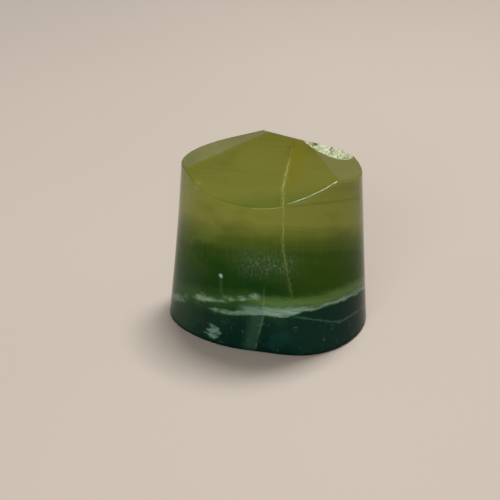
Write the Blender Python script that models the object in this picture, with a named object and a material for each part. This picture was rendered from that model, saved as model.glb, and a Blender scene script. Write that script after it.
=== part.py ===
"""Fluorite freeform: a hand-polished stone with a flat base, sloping facets on top and one rough break.

One natural piece, so one solid. Metres, +Z up, +X to the right of the front view, front face to -Y.
"""

import math

import bmesh
import bpy
import numpy as np
from mathutils import Vector, noise

MM = 0.001

# Outline of the wall, as radii from the stone's middle every 30 degrees, counter-clockwise from +X.
# The wall is straight from the base outline to the shoulder outline.
BASE_RADII = np.array((34.4, 33.0, 28.8, 26.0, 28.9, 32.9, 34.0, 28.6, 24.7, 24.5, 29.6, 32.9)) * MM
SHOULDER_RADII = np.array((30.2, 30.5, 25.0, 20.6, 24.0, 31.0, 26.6, 24.0, 22.5, 22.9, 22.7, 25.5)) * MM
SHOULDER_HEIGHT = 60 * MM
UNCUT_HEIGHT = 72 * MM
COLUMNS = 144
ROW_HEIGHTS = (13 * MM, 25 * MM, 37 * MM, 48 * MM)

BASE_EDGE_RADIUS = 0.6 * MM
BASE_EDGE_STEPS = 3

# Flat facets ground over the top: height on the stone's axis, rise towards +X, rise towards +Y.
FACETS = {
    "front": (58.65 * MM, 0.10, 0.20),
    "back_left": (63.50 * MM, 0.27, -0.10),
    "right": (67.15 * MM, -0.41, -0.02),
    "back_right": (69.30 * MM, -0.27, -0.44),
}
FACET_EDGE_WIDTH = 0.7 * MM
FACET_EDGE_STEPS = 3
SHARP_ANGLE = math.radians(5)
SHORTEST_EDGE = 0.25 * MM

# The rough break: a shell-shaped scoop at the back right, with small ledges all over it.
SCOOP_CENTRE = Vector((22.6, 13.6, 65.0)) * MM
SCOOP_RADII = Vector((11.6, 11.8, 10.8)) * MM
SCOOP_SUBDIVISIONS = 6
LUMP_SIZE = 3.4 * MM
LUMP_HEIGHT = 0.55 * MM
GRAIN_SIZE = 1.3 * MM
GRAIN_HEIGHT = 0.45 * MM
LEDGE_STEP = 1.3 * MM
LEDGE_SHARE = 0.35


def clear_scene():
    for obj in list(bpy.data.objects):
        bpy.data.objects.remove(obj, do_unlink=True)


def closed_spline(values, angles):
    """A smooth closed curve through evenly spaced radii, read at the given angles."""
    count = len(values)
    step = 2 * math.pi / count
    system = np.zeros((count, count))
    for i in range(count):
        system[i, (i - 1) % count] = 1
        system[i, i] = 4
        system[i, (i + 1) % count] = 1
    bend = np.roll(values, -1) - 2 * values + np.roll(values, 1)
    second = np.linalg.solve(system, 6 * bend / step**2)
    place = np.mod(angles, 2 * math.pi) / step
    i = np.floor(place).astype(int) % count
    j = (i + 1) % count
    b = place - np.floor(place)
    a = 1 - b
    curve = (a**3 - a) * second[i] + (b**3 - b) * second[j]
    return a * values[i] + b * values[j] + curve * step**2 / 6


def wall_radius(angles, height):
    base = closed_spline(BASE_RADII, angles)
    shoulder = closed_spline(SHOULDER_RADII, angles)
    return base + (shoulder - base) * height / SHOULDER_HEIGHT


def wall_rings():
    """(height, inset) of each ring of the uncut stone, from the base edge up."""
    rings = []
    for step in range(BASE_EDGE_STEPS + 1):
        turn = math.pi / 2 * step / BASE_EDGE_STEPS
        rings.append((BASE_EDGE_RADIUS * (1 - math.cos(turn)), BASE_EDGE_RADIUS * (1 - math.sin(turn))))
    return rings + [(height, 0.0) for height in ROW_HEIGHTS + (UNCUT_HEIGHT,)]


def uncut_stone(bm):
    """The tapering body, closed flat at both ends."""
    angles = np.arange(COLUMNS) * 2 * math.pi / COLUMNS
    loops = []
    for height, inset in wall_rings():
        radii = wall_radius(angles, height) - inset
        loops.append(
            [
                bm.verts.new((r * math.cos(angle), r * math.sin(angle), height))
                for r, angle in zip(radii, angles)
            ]
        )
    for lower, upper in zip(loops, loops[1:]):
        for i in range(COLUMNS):
            j = (i + 1) % COLUMNS
            bm.faces.new((lower[i], lower[j], upper[j], upper[i]))
    bm.faces.new(loops[0][::-1])
    bm.faces.new(loops[-1])


def cut_flat(bm, point, normal):
    """Takes away what is on the normal's side of a plane and closes the cut with one flat face."""
    everything = bm.verts[:] + bm.edges[:] + bm.faces[:]
    result = bmesh.ops.bisect_plane(
        bm, geom=everything, dist=1e-7, plane_co=point, plane_no=normal, clear_outer=True
    )
    rim = [item for item in result["geom_cut"] if isinstance(item, bmesh.types.BMEdge)]
    bmesh.ops.contextual_create(bm, geom=rim)


def grind_facets(bm):
    for height, rise_x, rise_y in FACETS.values():
        cut_flat(bm, Vector((0, 0, height)), Vector((-rise_x, -rise_y, 1)).normalized())


def is_facet_edge(edge):
    high = min(v.co.z for v in edge.verts) > ROW_HEIGHTS[-1]
    return high and edge.is_manifold and edge.calc_face_angle() > SHARP_ANGLE


def uncrowd_corners(bm):
    """Welds a rim point that crowds the end of a ridge onto that end, so that the facets stay flat."""
    welds = {}
    for edge in filter(is_facet_edge, bm.edges):
        if edge.calc_length() < SHORTEST_EDGE:
            rim_point, corner = sorted(edge.verts, key=lambda v: sum(map(is_facet_edge, v.link_edges)))
            welds[rim_point] = corner
    bmesh.ops.weld_verts(bm, targetmap=welds)


def ease_edges(bm):
    """The narrow polished round along every edge of the facets."""
    uncrowd_corners(bm)
    edges = list(filter(is_facet_edge, bm.edges))
    bmesh.ops.bevel(
        bm,
        geom=edges,
        offset=FACET_EDGE_WIDTH,
        segments=FACET_EDGE_STEPS,
        profile=0.5,
        affect="EDGES",
        clamp_overlap=False,
    )


def make_object(name, bm):
    mesh = bpy.data.meshes.new(name)
    bmesh.ops.recalc_face_normals(bm, faces=bm.faces[:])
    bm.to_mesh(mesh)
    bm.free()
    obj = bpy.data.objects.new(name, mesh)
    bpy.context.scene.collection.objects.link(obj)
    return obj


def polished_stone():
    bm = bmesh.new()
    uncut_stone(bm)
    grind_facets(bm)
    ease_edges(bm)
    return make_object("fluorite", bm)


def rough_offset(place):
    """How far the broken surface stands off its smooth shell, at a point in metres."""
    lump = noise.noise(place / LUMP_SIZE) * LUMP_HEIGHT
    cells, _ = noise.voronoi(place / GRAIN_SIZE)
    grain = (cells[1] - cells[0] - 0.25) * GRAIN_HEIGHT
    along = place.dot(Vector((0.35, -0.25, 0.9))) + lump
    ledge = (round(along / LEDGE_STEP) * LEDGE_STEP - along) * LEDGE_SHARE
    return lump + grain + ledge


def scoop_cutter():
    bm = bmesh.new()
    bmesh.ops.create_icosphere(bm, subdivisions=SCOOP_SUBDIVISIONS, radius=1.0)
    for vert in bm.verts:
        direction = vert.co.normalized()
        smooth = Vector(r * d for r, d in zip(SCOOP_RADII, direction)) + SCOOP_CENTRE
        vert.co = smooth + direction * rough_offset(smooth)
    return make_object("scoop", bm)


def break_off(stone, cutter):
    """Cuts the scoop out of the stone and bakes the result into the stone's own mesh."""
    cut = stone.modifiers.new("scoop", "BOOLEAN")
    cut.operation = "DIFFERENCE"
    cut.solver = "EXACT"
    cut.object = cutter
    graph = bpy.context.evaluated_depsgraph_get()
    whole = stone.data
    stone.data = bpy.data.meshes.new_from_object(stone.evaluated_get(graph))
    stone.modifiers.clear()
    bpy.data.meshes.remove(whole)
    bpy.data.objects.remove(cutter, do_unlink=True)


def centre_on_base(stone):
    """Puts the middle of the stone's box on the axis, with the flat base at height 0."""
    low = [min(v.co[i] for v in stone.data.vertices) for i in range(3)]
    high = [max(v.co[i] for v in stone.data.vertices) for i in range(3)]
    shift = Vector(((low[0] + high[0]) / 2, (low[1] + high[1]) / 2, low[2]))
    for vert in stone.data.vertices:
        vert.co -= shift


def add_material(stone):
    material = bpy.data.materials.new("green fluorite")
    material.use_nodes = True
    material.diffuse_color = (0.16, 0.19, 0.03, 1)
    shader = material.node_tree.nodes["Principled BSDF"]
    shader.inputs["Base Color"].default_value = (0.16, 0.19, 0.03, 1)
    shader.inputs["Roughness"].default_value = 0.08
    shader.inputs["IOR"].default_value = 1.434
    stone.data.materials.clear()
    stone.data.materials.append(material)


def main():
    clear_scene()
    stone = polished_stone()
    break_off(stone, scoop_cutter())
    centre_on_base(stone)
    add_material(stone)


main()
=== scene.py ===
"""Looks of the fluorite freeform: the polished stone with its growth zones, crack, veils and rough break."""

import math

import bmesh
import bpy
import numpy as np
from mathutils import Matrix, Vector, noise


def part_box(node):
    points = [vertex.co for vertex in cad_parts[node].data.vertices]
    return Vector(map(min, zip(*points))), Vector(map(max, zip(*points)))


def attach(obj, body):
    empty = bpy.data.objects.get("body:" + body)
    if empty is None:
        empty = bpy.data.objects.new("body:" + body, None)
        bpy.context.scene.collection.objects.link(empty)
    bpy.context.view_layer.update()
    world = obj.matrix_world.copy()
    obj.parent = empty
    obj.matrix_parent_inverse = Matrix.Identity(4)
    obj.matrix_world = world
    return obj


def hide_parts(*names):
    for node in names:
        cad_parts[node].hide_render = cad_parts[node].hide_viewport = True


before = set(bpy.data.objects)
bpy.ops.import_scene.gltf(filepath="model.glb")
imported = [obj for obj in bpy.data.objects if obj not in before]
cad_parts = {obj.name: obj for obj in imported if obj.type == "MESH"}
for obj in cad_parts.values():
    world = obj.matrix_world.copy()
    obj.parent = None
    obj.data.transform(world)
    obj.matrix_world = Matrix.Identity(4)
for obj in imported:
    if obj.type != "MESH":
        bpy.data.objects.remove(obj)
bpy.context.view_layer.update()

MM = 0.001

# The stone's own sizes, the same as in part.py, with a finer mesh.
BASE_RADII = np.array((34.4, 33.0, 28.8, 26.0, 28.9, 32.9, 34.0, 28.6, 24.7, 24.5, 29.6, 32.9)) * MM
SHOULDER_RADII = np.array((30.2, 30.5, 25.0, 20.6, 24.0, 31.0, 26.6, 24.0, 22.5, 22.9, 22.7, 25.5)) * MM
SHOULDER_HEIGHT = 60 * MM
UNCUT_HEIGHT = 72 * MM
COLUMNS = 144
ROW_HEIGHTS = (6 * MM, 12 * MM, 18 * MM, 24 * MM, 30 * MM, 36 * MM, 42 * MM, 48 * MM)
BASE_EDGE_RADIUS = 0.6 * MM
BASE_EDGE_STEPS = 5
FACETS = {
    "front": (58.65 * MM, 0.10, 0.20),
    "back_left": (63.50 * MM, 0.27, -0.10),
    "right": (67.15 * MM, -0.41, -0.02),
    "back_right": (69.30 * MM, -0.27, -0.44),
}
FACET_EDGE_WIDTH = 0.7 * MM
FACET_EDGE_STEPS = 5
SHARP_ANGLE = math.radians(5)
SHORTEST_EDGE = 0.25 * MM
SMOOTH_ANGLE = math.radians(28)
SCOOP_CENTRE = Vector((22.6, 13.6, 65.0)) * MM
SCOOP_RADII = Vector((11.6, 11.8, 10.8)) * MM
SCOOP_SUBDIVISIONS = 7
LUMP_SIZE = 3.4 * MM
LUMP_HEIGHT = 0.55 * MM
GRAIN_SIZE = 1.3 * MM
GRAIN_HEIGHT = 0.45 * MM
LEDGE_STEP = 1.3 * MM
LEDGE_SHARE = 0.35

# Growth zones are planes that rise towards the front and, less, towards the left: this much per
# millimetre of depth and of width.
ZONE_RISE_Y = 0.45
ZONE_RISE_X = 0.08


def closed_spline(values, angles):
    """A smooth closed curve through evenly spaced radii, read at the given angles."""
    count = len(values)
    step = 2 * math.pi / count
    system = np.zeros((count, count))
    for i in range(count):
        system[i, (i - 1) % count] = 1
        system[i, i] = 4
        system[i, (i + 1) % count] = 1
    bend = np.roll(values, -1) - 2 * values + np.roll(values, 1)
    second = np.linalg.solve(system, 6 * bend / step**2)
    place = np.mod(angles, 2 * math.pi) / step
    i = np.floor(place).astype(int) % count
    j = (i + 1) % count
    b = place - np.floor(place)
    a = 1 - b
    curve = (a**3 - a) * second[i] + (b**3 - b) * second[j]
    return a * values[i] + b * values[j] + curve * step**2 / 6


def wall_radius(angles, height):
    base = closed_spline(BASE_RADII, angles)
    shoulder = closed_spline(SHOULDER_RADII, angles)
    return base + (shoulder - base) * height / SHOULDER_HEIGHT


def wall_rings():
    """(height, inset) of each ring of the uncut stone, from the base edge up."""
    rings = []
    for step in range(BASE_EDGE_STEPS + 1):
        turn = math.pi / 2 * step / BASE_EDGE_STEPS
        rings.append((BASE_EDGE_RADIUS * (1 - math.cos(turn)), BASE_EDGE_RADIUS * (1 - math.sin(turn))))
    return rings + [(height, 0.0) for height in ROW_HEIGHTS + (UNCUT_HEIGHT,)]


def uncut_stone(bm):
    """The tapering body, closed flat at both ends."""
    angles = np.arange(COLUMNS) * 2 * math.pi / COLUMNS
    loops = []
    for height, inset in wall_rings():
        radii = wall_radius(angles, height) - inset
        loops.append(
            [
                bm.verts.new((r * math.cos(angle), r * math.sin(angle), height))
                for r, angle in zip(radii, angles)
            ]
        )
    for lower, upper in zip(loops, loops[1:]):
        for i in range(COLUMNS):
            j = (i + 1) % COLUMNS
            bm.faces.new((lower[i], lower[j], upper[j], upper[i]))
    bm.faces.new(loops[0][::-1])
    bm.faces.new(loops[-1])


def cut_flat(bm, point, normal):
    """Takes away what is on the normal's side of a plane and closes the cut with one flat face."""
    everything = bm.verts[:] + bm.edges[:] + bm.faces[:]
    result = bmesh.ops.bisect_plane(
        bm, geom=everything, dist=1e-7, plane_co=point, plane_no=normal, clear_outer=True
    )
    rim = [item for item in result["geom_cut"] if isinstance(item, bmesh.types.BMEdge)]
    bmesh.ops.contextual_create(bm, geom=rim)


def grind_facets(bm):
    for height, rise_x, rise_y in FACETS.values():
        cut_flat(bm, Vector((0, 0, height)), Vector((-rise_x, -rise_y, 1)).normalized())


def is_facet_edge(edge):
    high = min(v.co.z for v in edge.verts) > ROW_HEIGHTS[-1]
    return high and edge.is_manifold and edge.calc_face_angle() > SHARP_ANGLE


def uncrowd_corners(bm):
    """Welds a rim point that crowds the end of a ridge onto that end, so that the facets stay flat."""
    welds = {}
    for edge in filter(is_facet_edge, bm.edges):
        if edge.calc_length() < SHORTEST_EDGE:
            rim_point, corner = sorted(edge.verts, key=lambda v: sum(map(is_facet_edge, v.link_edges)))
            welds[rim_point] = corner
    bmesh.ops.weld_verts(bm, targetmap=welds)


def ease_edges(bm):
    """The narrow polished round along every edge of the facets."""
    uncrowd_corners(bm)
    bmesh.ops.bevel(
        bm,
        geom=list(filter(is_facet_edge, bm.edges)),
        offset=FACET_EDGE_WIDTH,
        segments=FACET_EDGE_STEPS,
        profile=0.5,
        affect="EDGES",
        clamp_overlap=False,
    )


def make_object(name, bm):
    mesh = bpy.data.meshes.new(name)
    bmesh.ops.recalc_face_normals(bm, faces=bm.faces[:])
    bm.to_mesh(mesh)
    bm.free()
    obj = bpy.data.objects.new(name, mesh)
    bpy.context.scene.collection.objects.link(obj)
    return obj


def rough_offset(place):
    """How far the broken surface stands off its smooth shell, at a point in metres."""
    lump = noise.noise(place / LUMP_SIZE) * LUMP_HEIGHT
    cells, _ = noise.voronoi(place / GRAIN_SIZE)
    grain = (cells[1] - cells[0] - 0.25) * GRAIN_HEIGHT
    along = place.dot(Vector((0.35, -0.25, 0.9))) + lump
    ledge = (round(along / LEDGE_STEP) * LEDGE_STEP - along) * LEDGE_SHARE
    return lump + grain + ledge


def scoop_cutter():
    bm = bmesh.new()
    bmesh.ops.create_icosphere(bm, subdivisions=SCOOP_SUBDIVISIONS, radius=1.0)
    for vert in bm.verts:
        direction = vert.co.normalized()
        smooth = Vector(r * d for r, d in zip(SCOOP_RADII, direction)) + SCOOP_CENTRE
        vert.co = smooth + direction * rough_offset(smooth)
    return make_object("scoop", bm)


def break_off(stone, cutter):
    """Cuts the scoop out of the stone and bakes the result into the stone's own mesh."""
    cut = stone.modifiers.new("scoop", "BOOLEAN")
    cut.operation = "DIFFERENCE"
    cut.solver = "EXACT"
    cut.object = cutter
    graph = bpy.context.evaluated_depsgraph_get()
    whole = stone.data
    stone.data = bpy.data.meshes.new_from_object(stone.evaluated_get(graph))
    stone.modifiers.clear()
    bpy.data.meshes.remove(whole)
    bpy.data.objects.remove(cutter, do_unlink=True)


def fit_to_node(stone, node):
    """Puts the fine stone's box where the CAD node's box is."""
    low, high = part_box(node)
    own_low = [min(v.co[i] for v in stone.data.vertices) for i in range(3)]
    own_high = [max(v.co[i] for v in stone.data.vertices) for i in range(3)]
    shift = Vector(((low[i] + high[i] - own_low[i] - own_high[i]) / 2 for i in range(3)))
    shift.z = low[2] - own_low[2]
    for vert in stone.data.vertices:
        vert.co += shift


def build_stone():
    bm = bmesh.new()
    uncut_stone(bm)
    grind_facets(bm)
    ease_edges(bm)
    stone = make_object("fluorite_stone", bm)
    break_off(stone, scoop_cutter())
    fit_to_node(stone, "fluorite")
    stone.data.shade_smooth()
    stone.data.set_sharp_from_angle(angle=SMOOTH_ANGLE)
    weigh = stone.modifiers.new("weigh normals", "WEIGHTED_NORMAL")
    weigh.keep_sharp = True
    return stone


def srgb(r, g, b):
    """Linear colour of an sRGB triple from 0 to 255."""
    return tuple(((c / 255 + 0.055) / 1.055) ** 2.4 if c > 10 else c / 255 / 12.92 for c in (r, g, b))


# Body colour by zone height, in millimetres measured on the front wall.
ZONE_COLOURS = (
    (0.0, srgb(0, 38, 32)),
    (11.5, srgb(0, 40, 28)),
    (14.0, srgb(4, 52, 26)),
    (19.0, srgb(46, 82, 26)),
    (23.0, srgb(8, 54, 2)),
    (31.0, srgb(22, 60, 0)),
    (37.0, srgb(44, 74, 0)),
    (43.0, srgb(88, 106, 20)),
    (49.0, srgb(148, 152, 60)),
    (55.0, srgb(150, 154, 62)),
    (62.0, srgb(144, 147, 56)),
    (68.0, srgb(147, 147, 56)),
    (82.0, srgb(136, 131, 40)),
)
ZONE_TOP = 90.0

# Places of single marks, in millimetres.
RIM_PATCH = (-23.4, -8.4, 54.6)
WHITE_SPOT = (-15.7, -18.7, 26.6)
SCAR = (-18.6, -18.0, 5.4)

FLUORITE_IOR = 1.434
SPECULAR_LEVEL = 0.08
BODY_TINT = (0.62, 0.72, 0.20, 1)
BODY_TINT_DENSITY = 28.0
POLISH_DEPTH = 0.0001


class Graph:
    """Short names for the nodes that a material is drawn with."""

    def __init__(self, owner):
        self.nodes = owner.node_tree.nodes
        self.links = owner.node_tree.links

    def put(self, socket, value):
        if isinstance(value, bpy.types.NodeSocket):
            self.links.new(value, socket)
        else:
            socket.default_value = value

    def math(self, operation, a, b=0.0):
        node = self.nodes.new("ShaderNodeMath")
        node.operation = operation
        self.put(node.inputs[0], a)
        self.put(node.inputs[1], b)
        return node.outputs[0]

    def add(self, *values):
        total = values[0]
        for value in values[1:]:
            total = self.math("ADD", total, value)
        return total

    def mul(self, *values):
        total = values[0]
        for value in values[1:]:
            total = self.math("MULTIPLY", total, value)
        return total

    def minus(self, a, b):
        return self.math("SUBTRACT", a, b)

    def size(self, value):
        return self.math("ABSOLUTE", value)

    def most(self, a, b):
        return self.math("MAXIMUM", a, b)

    def past(self, value, start):
        """How far the value is past the start, and 0 before it."""
        return self.most(self.minus(value, start), 0.0)

    def step(self, value, low, high, to_low=0.0, to_high=1.0):
        """Eases from to_low to to_high as the value goes from low to high, also when low is over high."""
        node = self.nodes.new("ShaderNodeMapRange")
        node.interpolation_type = "SMOOTHSTEP"
        if low > high:
            low, high, to_low, to_high = high, low, to_high, to_low
        for socket, v in zip(node.inputs, (value, low, high, to_low, to_high)):
            self.put(socket, v)
        return node.outputs[0]

    def between(self, value, low, high, soft):
        rise = self.step(value, low - soft, low + soft)
        return self.mul(rise, self.step(value, high + soft, high - soft))

    def noise(self, vector, scale, detail=2.0, roughness=0.5, distortion=0.0):
        node = self.nodes.new("ShaderNodeTexNoise")
        self.put(node.inputs["Vector"], vector)
        node.inputs["Scale"].default_value = scale
        node.inputs["Detail"].default_value = detail
        node.inputs["Roughness"].default_value = roughness
        node.inputs["Distortion"].default_value = distortion
        return node.outputs["Fac"]

    def wobble(self, *noise_values):
        """Noise around 0."""
        return self.minus(self.noise(*noise_values), 0.5)

    def stretch(self, vector, scale):
        node = self.nodes.new("ShaderNodeMapping")
        self.put(node.inputs["Vector"], vector)
        node.inputs["Scale"].default_value = scale
        return node.outputs[0]

    def split(self, vector):
        node = self.nodes.new("ShaderNodeSeparateXYZ")
        self.put(node.inputs[0], vector)
        return node.outputs

    def join(self, x, y, z):
        node = self.nodes.new("ShaderNodeCombineXYZ")
        for socket, value in zip(node.inputs, (x, y, z)):
            self.put(socket, value)
        return node.outputs[0]

    def vector_math(self, operation, vector, point):
        node = self.nodes.new("ShaderNodeVectorMath")
        node.operation = operation
        self.put(node.inputs[0], vector)
        node.inputs[1].default_value = point
        return node.outputs

    def distance(self, vector, point):
        return self.vector_math("DISTANCE", vector, point)["Value"]

    def mix(self, factor, a, b):
        node = self.nodes.new("ShaderNodeMix")
        node.data_type = "RGBA"
        self.put(node.inputs["Factor"], factor)
        for socket, value in ((node.inputs[6], a), (node.inputs[7], b)):
            self.put(socket, (*value, 1) if isinstance(value, tuple) else value)
        return node.outputs[2]

    def ramp(self, value, stops):
        node = self.nodes.new("ShaderNodeValToRGB")
        elements = node.color_ramp.elements
        elements[0].position, elements[0].color = stops[0][0], (*stops[0][1], 1)
        elements[1].position, elements[1].color = stops[-1][0], (*stops[-1][1], 1)
        for place, colour in stops[1:-1]:
            elements.new(place).color = (*colour, 1)
        self.put(node.inputs[0], value)
        return node.outputs[0]


class StonePaint(Graph):
    """The stone's coordinates in millimetres, the shapes that its marks share, and its colour so far."""

    def __init__(self, material):
        super().__init__(material)
        place = self.nodes.new("ShaderNodeTexCoord").outputs
        self.p = self.stretch(place["Object"], (1000, 1000, 1000))
        self.x, self.y, self.z = self.split(self.p)
        self.upward = self.step(self.split(place["Normal"])[2], 0.35, 0.85)
        self.tilt = self.add(self.z, self.mul(self.add(self.y, 23.0), ZONE_RISE_Y))
        broad = self.wobble(self.p, 0.045, 2.0)
        fine = self.wobble(self.stretch(self.p, (1.0, 1.0, 2.5)), 0.16, 3.0, 0.6)
        across = self.mul(self.x, ZONE_RISE_X)
        self.zone = self.add(self.tilt, across, self.mul(broad, 7.0), self.mul(fine, 3.0))
        self.high_up = self.step(self.zone, 26.0, 46.0, 0.15, 1.0)
        self.front = self.step(self.y, -8.0, -16.0)
        self.ragged = self.wobble(self.stretch(self.p, (0.7, 0.7, 2.2)), 0.30, 5.0, 0.62, 0.6)
        wave = self.wobble(self.stretch(self.p, (1.0, 1.0, 1.5)), 0.11, 3.0, 0.55)
        self.layer = self.add(self.tilt, self.mul(wave, 3.0))
        self.wiggle = self.mul(self.wobble(self.p, 0.5, 3.0, 0.6), 0.9)
        self.broken = self.step(self.noise(self.p, 0.28, 2.0), 0.35, 0.6, 0.35, 1.0)
        self.colour = None

    def paint(self, factor, rgb):
        self.colour = self.mix(factor, self.colour, srgb(*rgb))


def paint_body(g):
    """Growth zones with their cloudiness, and the faint upright lines on the wall."""
    scaled = g.mul(g.zone, 1 / ZONE_TOP)
    g.colour = g.ramp(scaled, [(height / ZONE_TOP, colour) for height, colour in ZONE_COLOURS])
    cloud = g.noise(g.stretch(g.p, (1.0, 1.0, 1.4)), 0.07, 2.0, 0.45, 0.3)
    g.paint(g.mul(g.step(cloud, 0.5, 0.75, 0.0, 0.22), g.high_up), (142, 150, 72))
    g.paint(g.mul(g.step(cloud, 0.5, 0.25, 0.0, 0.30), g.high_up), (66, 80, 12))
    upright = g.noise(g.stretch(g.p, (1.5, 1.5, 0.04)), 0.8, 3.0, 0.6)
    g.paint(g.mul(g.step(upright, 0.48, 0.72, 0.0, 0.10), g.high_up), (126, 140, 84))


def paint_growth_lines(g):
    """Yellower green at the right of the dark zone, and fine growth lines all round."""
    in_dark = g.mul(g.step(g.zone, 16.0, 21.0), g.step(g.zone, 42.0, 34.0))
    g.paint(g.mul(g.step(g.x, -2.0, 18.0), in_dark, 0.4), (62, 86, 2))
    along = g.join(g.x, g.y, g.add(g.tilt, g.mul(g.x, ZONE_RISE_X)))
    lines = g.noise(g.stretch(along, (0.03, 0.03, 0.9)), 1.0, 3.0, 0.6)
    g.paint(g.mul(g.step(lines, 0.5, 0.72, 0.0, 0.09), g.high_up), (112, 130, 62))
    g.paint(g.step(lines, 0.5, 0.28, 0.0, 0.10), (20, 44, 8))


def paint_back_veil(g):
    """A healed veil that slopes through the back."""
    slope = g.add(g.mul(g.x, 0.75), g.mul(g.y, 0.25), g.mul(g.z, 0.55), -22.0)
    torn = g.wobble(g.stretch(g.p, (0.7, 0.7, 1.2)), 0.25, 5.0, 0.65)
    veil = g.step(g.size(g.add(slope, g.mul(torn, 9.0))), 1.6, 0.1)
    g.paint(g.mul(veil, g.step(g.y, 2.0, 9.0), g.step(torn, -0.12, 0.10), 0.5), (150, 164, 112))


def paint_facets(g):
    """The facets are deeper in colour than the wall, and greener along the front rim."""
    rise = g.add(g.tilt, g.mul(g.x, -0.1))
    g.paint(g.mul(g.upward, 0.36), (0, 0, 0))
    g.paint(g.mul(g.upward, g.step(rise, 60.5, 55.0), 0.5), (82, 102, 26))


def wisp(g, height, width, softness, strength, rag):
    """A ragged line at one height of the growth layers."""
    away = g.size(g.minus(g.add(g.layer, g.mul(g.ragged, rag)), height))
    return g.mul(g.step(away, width + softness, width), strength)


def paint_wedge(g):
    """The pale wedge between the green body and the teal base, and the glow over it."""
    top_edge = g.add(18.6, g.mul(g.past(g.x, 15.0), 0.30))
    low_edge = g.add(13.8, g.mul(g.past(g.x, 6.0), 0.28))
    under = g.mul(g.step(g.minus(low_edge, g.layer), -0.8, 0.8), g.step(g.x, 2.0, 8.0))
    g.paint(under, (0, 42, 32))
    below_top = g.minus(top_edge, g.add(g.layer, g.mul(g.ragged, 4.0)))
    above_low = g.minus(g.add(g.layer, g.mul(g.ragged, 2.5)), low_edge)
    streak = g.noise(g.stretch(g.p, (0.35, 0.35, 2.4)), 0.30, 4.0, 0.6, 0.5)
    wedge = g.mul(g.step(below_top, -0.2, 2.6), g.step(above_low, -0.2, 0.7))
    wedge = g.mul(wedge, g.step(streak, 0.38, 0.62, 0.55, 1.0), g.step(g.x, -12.0, -3.0, 0.0, 0.85))
    g.paint(g.mul(wedge, 0.92), (144, 176, 158))
    glow = g.mul(g.step(below_top, -4.5, -0.5), g.step(below_top, 1.0, 0.0))
    g.paint(g.mul(glow, g.step(g.x, -10.0, 0.0), 0.75), (94, 126, 66))
    return wedge


def paint_wisps(g):
    """Wisps that carry the pale band on to the left, and a thin second line below the wedge."""
    patchy = g.step(g.noise(g.stretch(g.p, (0.6, 0.6, 1.0)), 0.22, 3.0, 0.6), 0.36, 0.60)
    left = g.mul(g.step(g.x, -2.0, -5.0), patchy)
    upper_height = g.add(18.2, g.mul(g.add(g.x, 31.0), 0.12))
    upper = g.mul(wisp(g, upper_height, 0.4, 1.7, 0.9, 4.5), left)
    lower = g.mul(wisp(g, 14.8, 0.3, 1.0, 0.75, 4.0), left, g.step(g.x, -22.0, -16.0))
    dip = g.add(g.mul(g.past(g.x, 9.0), -0.20), g.mul(g.past(g.x, 23.0), 0.55))
    second = g.mul(wisp(g, g.add(13.7, dip), 0.05, 0.7, 0.55, 1.6), g.step(g.x, 6.0, 10.0))
    g.paint(upper, (128, 154, 130))
    g.paint(lower, (128, 158, 134))
    g.paint(second, (60, 100, 80))
    return g.most(upper, lower)


def paint_base(g):
    """Bluish flecks and haze in the teal base, and a greyer left end."""
    in_base = g.step(g.tilt, 13.5, 11.0)
    fleck = g.step(g.noise(g.stretch(g.p, (1.0, 1.0, 0.8)), 0.42, 4.0, 0.65, 1.2), 0.60, 0.74)
    g.paint(g.mul(in_base, fleck, 0.7), (64, 116, 108))
    g.paint(g.mul(in_base, g.step(g.noise(g.p, 0.12, 3.0, 0.6), 0.5, 0.72), 0.5), (10, 66, 58))
    g.paint(g.mul(g.step(g.x, -20.0, -31.0), g.step(g.tilt, 40.0, 20.0), 0.45), (62, 88, 66))


def paint_rim_marks(g):
    """A faint inner line under the right rim, and a pale patch at the left end of the front rim."""
    height = g.add(54.3, g.mul(g.past(g.x, 4.0), 0.08))
    line = g.step(g.size(g.minus(g.tilt, height)), 0.6, 0.1)
    g.paint(g.mul(line, g.step(g.x, 3.0, 6.0), g.step(g.z, 56.0, 54.0), 0.3), (84, 96, 24))
    patch = g.step(g.distance(g.p, RIM_PATCH), 2.6, 0.6)
    g.paint(g.mul(patch, g.step(g.ragged, -0.1, 0.05), 0.5), (166, 170, 116))


def paint_crack(g):
    """The crack: a wavy upright sheet that meets the front facet and the front wall, with a fork."""
    low_drift = g.mul(g.past(39.0, g.z), 0.19)
    back_drift = g.mul(g.past(g.y, -14.0), 0.17)
    away = g.minus(g.x, g.add(4.2, low_drift, back_drift, g.wiggle))
    side = g.size(away)
    reach = g.mul(g.step(g.z, 20.0, 26.0), g.step(g.y, 9.0, 5.0))
    strength = g.mul(g.step(g.z, 26.0, 52.0, 0.2, 0.6), g.step(g.y, 4.0, -5.0, 0.3, 1.0))
    crack = g.mul(g.step(side, 0.36, 0.06), g.broken, reach, strength)
    halo = g.mul(g.step(away, 9.0, 0.5), g.step(away, -0.3, 0.3), reach)
    g.paint(g.mul(halo, g.step(g.y, -18.0, -8.0), 0.6), (124, 116, 16))
    g.paint(crack, (162, 164, 94))
    splinter = g.mul(g.step(side, 1.5, 0.2), g.step(g.noise(g.p, 1.6, 4.0, 0.7), 0.50, 0.62), reach)
    splinter = g.mul(splinter, g.step(g.y, 2.0, -3.0), g.step(g.z, 48.0, 54.0, 0.15, 0.5))
    g.paint(splinter, (168, 170, 110))
    fork_x = g.add(2.8, g.mul(g.minus(46.7, g.z), 0.19), g.mul(g.wiggle, 0.7))
    fork = g.mul(g.step(g.size(g.minus(g.x, fork_x)), 0.35, 0.08), g.between(g.z, 33.0, 47.0, 1.0))
    g.paint(g.mul(fork, 0.4, g.step(g.y, -16.0, -20.0)), (122, 128, 58))
    return crack


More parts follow.
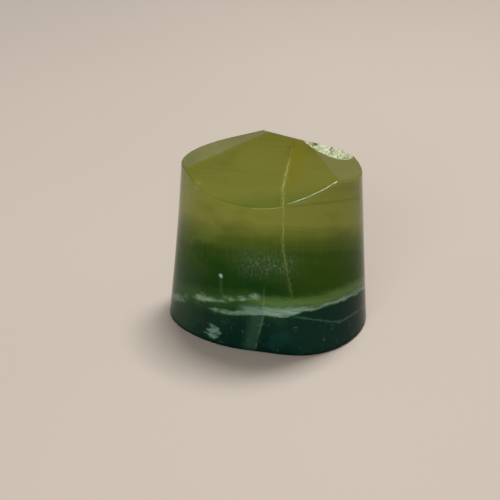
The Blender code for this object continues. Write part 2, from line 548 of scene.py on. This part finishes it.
def paint_lower_sheet(g):
    """A second, lower sheet that crosses the pale band and the base."""
    sheet_x = g.add(-1.7, g.mul(g.past(15.0, g.z), -0.2), g.mul(g.wiggle, 0.8))
    off = g.minus(g.x, sheet_x)
    haze = g.mul(g.step(off, 0.0, -0.4), g.step(off, -6.0, -2.0), g.step(g.z, 19.0, 16.0))
    g.paint(g.mul(haze, g.front, 0.35), (64, 102, 82))
    line = g.mul(g.step(g.size(off), 0.45, 0.1), g.step(g.z, 27.0, 20.0))
    g.paint(g.mul(line, g.front, g.broken, 0.28), (122, 146, 118))


def paint_specks(g):
    """A cloud of fine specks in the dark zone."""
    speck = g.step(g.noise(g.stretch(g.p, (1.0, 1.0, 0.6)), 1.5, 4.0, 0.75), 0.46, 0.66)
    around = g.mul(g.step(g.x, -16.0, -4.0), g.step(g.x, 14.0, 2.0))
    around = g.mul(around, g.step(g.z, 25.5, 33.0), g.step(g.z, 41.5, 35.0), g.front)
    g.paint(g.mul(around, g.step(speck, 0.0, 1.0, 0.12, 0.65)), (100, 124, 92))


def paint_spot(g):
    """The white spot and the faint trail below it."""
    spot = g.step(g.add(g.distance(g.p, WHITE_SPOT), g.mul(g.ragged, 2.0)), 1.0, 0.5)
    g.paint(g.mul(spot, 0.8), (160, 182, 182))
    trail = g.mul(g.step(g.size(g.minus(g.x, WHITE_SPOT[0])), 0.9, 0.2), g.between(g.z, 20.0, 26.0, 1.0))
    g.paint(g.mul(trail, g.front, 0.22), (80, 102, 62))
    return spot


def paint_scar(g):
    """The scar near the base, and the dark base edge where the stone meets the floor."""
    chips = g.step(g.noise(g.stretch(g.p, (0.8, 0.8, 1.0)), 0.62, 4.0, 0.65, 0.5), 0.36, 0.52)
    reach = g.add(g.distance(g.stretch(g.p, (1.0, 1.0, 1.25)), SCAR), g.mul(g.ragged, 9.0))
    scar = g.mul(g.step(reach, 3.6, 1.6), g.add(0.25, g.mul(chips, 0.75)))
    g.paint(g.mul(scar, 0.75), (122, 160, 142))
    g.paint(g.step(g.z, 2.2, 0.4, 0.0, 0.6), (2, 18, 12))


def paint_break(g):
    """The rough break is pale and matt."""
    to_scoop = g.vector_math("SUBTRACT", g.p, SCOOP_CENTRE / MM)[0]
    unit = g.stretch(to_scoop, tuple(MM / r for r in SCOOP_RADII))
    rough = g.step(g.distance(unit, (0, 0, 0)), 1.06, 1.015)
    sparkle = g.step(g.noise(g.p, 1.3, 4.0, 0.65), 0.44, 0.62)
    dull = g.mix(g.step(g.noise(g.p, 0.25, 2.0), 0.4, 0.55), srgb(112, 124, 70), srgb(152, 160, 126))
    g.colour = g.mix(g.mul(rough, 0.88), g.colour, g.mix(sparkle, dull, srgb(206, 208, 196)))
    return rough


def polish(g, shader, rough):
    """Roughness and the slight unevenness of hand polishing, with grain in the break."""
    gloss = g.step(g.noise(g.p, 0.35, 4.0, 0.6), 0.4, 0.7, 0.05, 0.11)
    g.put(shader.inputs["Roughness"], g.add(gloss, g.mul(rough, 0.4)))
    bump = g.nodes.new("ShaderNodeBump")
    bump.inputs["Strength"].default_value = 0.35
    bump.inputs["Distance"].default_value = POLISH_DEPTH
    grain = g.mul(g.noise(g.p, 2.2, 4.0, 0.7), rough, 4.0)
    g.put(bump.inputs["Height"], g.add(g.mul(g.noise(g.p, 0.12, 2.0), 1.2), grain))
    g.put(shader.inputs["Normal"], bump.outputs[0])


def stone_material():
    material = bpy.data.materials.new("polished green fluorite")
    material.use_nodes = True
    g = StonePaint(material)
    shader = g.nodes["Principled BSDF"]
    paint_body(g)
    paint_growth_lines(g)
    paint_back_veil(g)
    paint_facets(g)
    wedge = paint_wedge(g)
    band = g.most(wedge, paint_wisps(g))
    paint_base(g)
    paint_rim_marks(g)
    crack = paint_crack(g)
    paint_lower_sheet(g)
    paint_specks(g)
    spot = paint_spot(g)
    paint_scar(g)
    rough = paint_break(g)
    g.put(shader.inputs["Base Color"], g.colour)
    polish(g, shader, rough)

    cloudy = g.add(g.mul(rough, -0.4), g.mul(band, -0.1), g.mul(spot, -0.1), g.mul(crack, -0.2))
    g.put(shader.inputs["Transmission Weight"], g.add(g.step(g.zone, 32.0, 50.0, 0.12, 0.45), cloudy))
    shader.inputs["IOR"].default_value = FLUORITE_IOR
    shader.inputs["Specular IOR Level"].default_value = SPECULAR_LEVEL
    volume = g.nodes.new("ShaderNodeVolumeAbsorption")
    volume.inputs["Color"].default_value = BODY_TINT
    volume.inputs["Density"].default_value = BODY_TINT_DENSITY
    g.put(g.nodes["Material Output"].inputs["Volume"], volume.outputs[0])
    return material


FLOOR_HALF_SIZE = 3.0
FLOOR_DROP = 0.0001
WORLD_LOW = (0.46, 0.44, 0.42)
WORLD_HIGH = (0.20, 0.20, 0.19)
CAMERA_LENS = 91.4
CAMERA_DISTANCE = 0.43
CAMERA_ELEVATION = math.radians(30)
CAMERA_TARGET = Vector((-0.00623, 0, 0.02561))


def link(obj):
    bpy.context.scene.collection.objects.link(obj)


def add_floor():
    mesh = bpy.data.meshes.new("floor")
    s = FLOOR_HALF_SIZE
    mesh.from_pydata([(-s, -s, 0), (s, -s, 0), (s, s, 0), (-s, s, 0)], [], [(0, 1, 2, 3)])
    floor = bpy.data.objects.new("floor", mesh)
    floor.location.z = -FLOOR_DROP
    link(floor)
    material = bpy.data.materials.new("pale cloth floor")
    material.use_nodes = True
    g = Graph(material)
    shader = g.nodes["Principled BSDF"]
    tone = g.noise(g.nodes.new("ShaderNodeTexCoord").outputs["Object"], 3.0, 2.0)
    g.put(shader.inputs["Base Color"], g.mix(tone, srgb(166, 156, 148), srgb(177, 168, 160)))
    shader.inputs["Roughness"].default_value = 0.9
    shader.inputs["Specular IOR Level"].default_value = 0.08
    mesh.materials.append(material)


def softbox(name, size, power, colour):
    """A rectangular light that isn't seen through the stone."""
    light = bpy.data.lights.new(name, "AREA")
    light.shape = "RECTANGLE"
    light.size, light.size_y = size
    light.energy = power
    light.color = colour
    obj = bpy.data.objects.new(name, light)
    obj.visible_transmission = False
    link(obj)
    return obj


def add_front_softbox():
    place, target = Vector((-0.20, -0.75, 0.50)), Vector((0, 0, 0.03))
    obj = softbox("front softbox", (0.6, 0.4), 4.2, (1.0, 0.97, 0.93))
    obj.location = place
    obj.rotation_euler = (target - place).to_track_quat("-Z", "Y").to_euler()


def add_rim_strip():
    """A long narrow light between two points. The polished round along the front rim mirrors it."""
    start, end, target = Vector((0.01, 0.115, 0.79)), Vector((0.22, 0.27, 0.715)), Vector((0, 0, 0.05))
    obj = softbox("rim strip", ((end - start).length, 0.15), 7.0, (1.0, 0.985, 0.95))
    middle = (start + end) / 2
    along = (end - start).normalized()
    side = (middle - target).normalized().cross(along).normalized()
    back = along.cross(side).normalized()
    turn = Matrix((along, side, back)).transposed()
    obj.matrix_world = Matrix.Translation(middle) @ turn.to_4x4()


def add_world():
    world = bpy.data.worlds.new("studio")
    bpy.context.scene.world = world
    world.use_nodes = True
    g = Graph(world)
    height = g.split(g.nodes.new("ShaderNodeTexCoord").outputs["Generated"])[2]
    g.put(g.nodes["Background"].inputs["Color"], g.mix(g.step(height, 0.15, 0.6), WORLD_LOW, WORLD_HIGH))


def add_camera():
    camera = bpy.data.cameras.new("camera")
    camera.sensor_width = 36
    camera.lens = CAMERA_LENS
    camera.clip_start = 0.01
    obj = bpy.data.objects.new("camera", camera)
    towards = Vector((0, -math.cos(CAMERA_ELEVATION), math.sin(CAMERA_ELEVATION)))
    obj.location = CAMERA_TARGET + towards * CAMERA_DISTANCE
    obj.rotation_euler = (math.radians(90) - CAMERA_ELEVATION, 0, 0)
    link(obj)
    bpy.context.scene.camera = obj


def main():
    stone = build_stone()
    stone.data.materials.clear()
    stone.data.materials.append(stone_material())
    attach(stone, "root")
    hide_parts("fluorite")
    add_floor()
    add_world()
    add_front_softbox()
    add_rim_strip()
    add_camera()
    bpy.context.scene.view_settings.view_transform = "Standard"


main()
